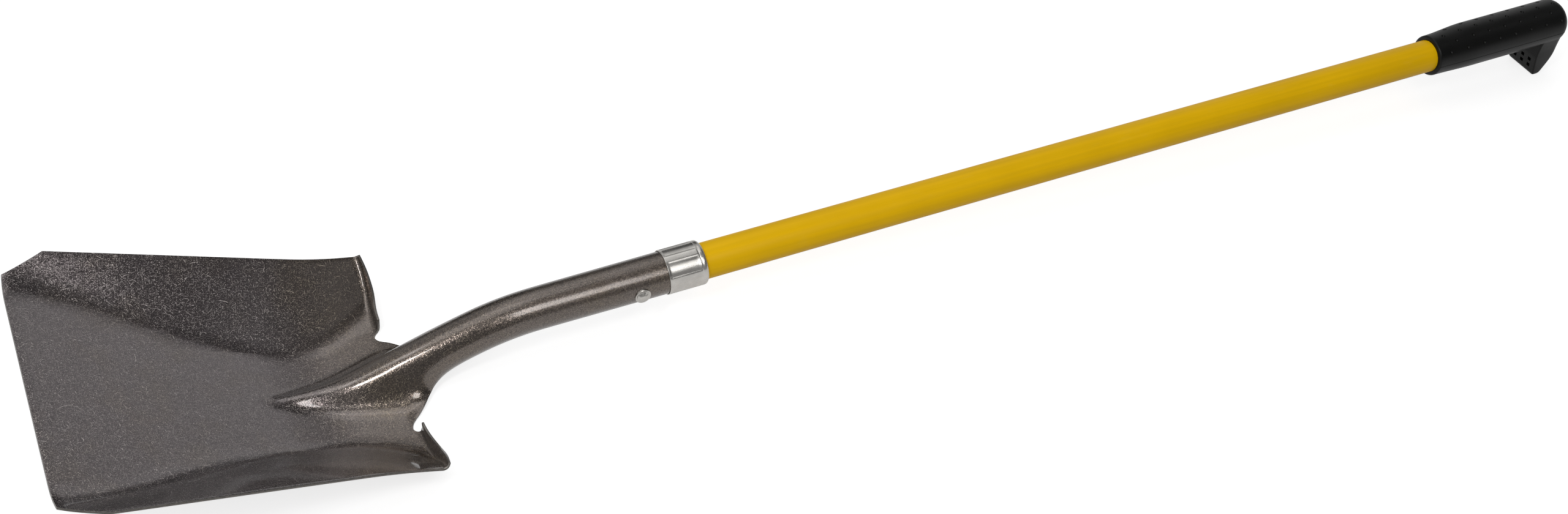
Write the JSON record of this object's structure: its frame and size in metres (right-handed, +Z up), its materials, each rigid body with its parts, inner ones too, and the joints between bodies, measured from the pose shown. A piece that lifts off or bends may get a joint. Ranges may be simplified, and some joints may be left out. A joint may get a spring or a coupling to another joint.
{
  "type": "square mouth shovel",
  "caption": "Square mouth shovel: pressed steel head with raised sides and a rolled socket, long yellow jacketed fibreglass handle and a black moulded hook-end grip.",
  "frame": {"origin": "centre of the shovel's footprint on the ground it lies on, face up, resting on its heel and on the foot of the grip's hook", "axes": "+X from the mouth towards the grip, +Y to the left seen from the mouth towards the grip, +Z up out of the shovel's face"},
  "size_m": [1.4932, 0.2868, 0.1066],
  "materials": {
    "blade_steel": "clear lacquer over dark tempered steel",
    "collar_zinc": "bright zinc plate",
    "rivet_steel": "peened",
    "washer_steel": "plain",
    "core_fibreglass": "pultruded",
    "jacket_plastic": "satin",
    "plug_wood": "turned",
    "end_plug_plastic": "moulded",
    "grip_plastic": "satin moulded"
  },
  "bodies": {
    "root": {"blade": "blade_steel", "collar": "collar_zinc", "rivet": "rivet_steel", "rivet_washer": "washer_steel", "handle_core": "core_fibreglass", "handle_jacket": "jacket_plastic", "socket_plug": "plug_wood", "handle_end_plug": "end_plug_plastic", "grip": "grip_plastic"}
  },
  "joints": []
}
